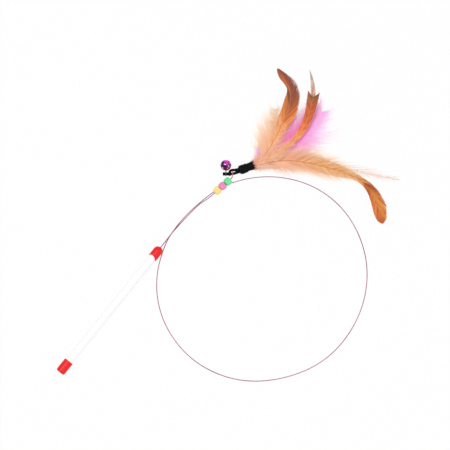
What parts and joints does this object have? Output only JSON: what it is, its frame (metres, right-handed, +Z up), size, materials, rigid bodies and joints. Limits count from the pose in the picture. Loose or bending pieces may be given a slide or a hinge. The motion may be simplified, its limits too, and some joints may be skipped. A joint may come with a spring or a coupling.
{
  "type": "cat teaser wand",
  "caption": "Cat teaser wand: a capped plastic handle and a long springy wire lying in a loop, with beads, a jingle bell and a bunch of feathers on its end.",
  "frame": {"origin": "centre of the rear cap's flat butt face, on the handle's axis", "axes": "+X along the handle from the butt to the wire, +Z up from the surface that the wand lies on, and the wire's loop lies towards -Y"},
  "size_m": [0.3939, 0.2198, 0.0172],
  "materials": {
    "white_tube": "translucent, satin",
    "red_cap": "glossy soft vinyl",
    "coated_wire": "thin coat, satin",
    "plug": "plain",
    "bead_yellow": "translucent, glossy",
    "bead_pink": "translucent, glossy",
    "bead_green": "translucent, glossy",
    "bell": "metallic lacquer, polished",
    "steel": "bright",
    "black_cord": "round elastic cord",
    "black_tape": "lapped tape, satin",
    "brown_feather": "feather",
    "orange_feather": "feather",
    "pale_feather": "feather",
    "tawny_feather": "feather",
    "pink_down": "fluffy down",
    "peach_down": "fluffy down",
    "lavender_down": "fluffy down"
  },
  "bodies": {
    "handle": {"handle_tube": "white_tube", "rear_cap": "red_cap", "front_cap": "red_cap", "wire_plug": "plug", "wire_root": "coated_wire", "lead_wire": "coated_wire", "wire_end": "coated_wire"},
    "bead_yellow": {"bead_yellow": "bead_yellow"},
    "bead_pink": {"bead_pink": "bead_pink"},
    "bead_green": {"bead_green": "bead_green"},
    "lure": {"tie_cord": "black_cord", "feather_binding": "black_tape", "left_hackle": "brown_feather", "middle_hackle": "orange_feather", "pale_spike": "pale_feather", "right_hackle": "tawny_feather", "pale_wisp": "pale_feather", "pink_plume": "pink_down", "peach_plume_left": "peach_down", "peach_plume_low": "peach_down", "lavender_tuft": "lavender_down"},
    "bell": {"bell_upper": "bell", "bell_lower": "bell", "bell_shank": "steel"},
    "pellet": {"bell_pellet": "steel"}
  },
  "joints": [
    {"name": "bead_yellow_spin", "type": "hinge", "parent": "handle", "child": "bead_yellow", "pos_m": [0.234, -0.0075, 0.00095], "axis": [0.9842, -0.1772, 0], "continuous": true},
    {"name": "bead_pink_spin", "type": "hinge", "parent": "handle", "child": "bead_pink", "pos_m": [0.234, -0.0075, 0.00095], "axis": [0.9842, -0.1772, 0], "continuous": true},
    {"name": "bead_green_spin", "type": "hinge", "parent": "handle", "child": "bead_green", "pos_m": [0.234, -0.0075, 0.00095], "axis": [0.9842, -0.1772, 0], "continuous": true},
    {"name": "lure_swing", "type": "hinge", "parent": "handle", "child": "lure", "pos_m": [0.2624, -0.00995, 0.00095], "axis": [0, 0, 1], "range_deg": [-30, 6]},
    {"name": "bell_swing", "type": "hinge", "parent": "lure", "child": "bell", "pos_m": [0.2583, -0.00479, 0.00095], "axis": [0.6225, -0.7826, 0], "range_deg": [0, 95]},
    {"name": "pellet_rattle", "type": "slide", "parent": "bell", "child": "pellet", "axis": [0, 0, 1], "range_m": [0, 0.0062]}
  ]
}
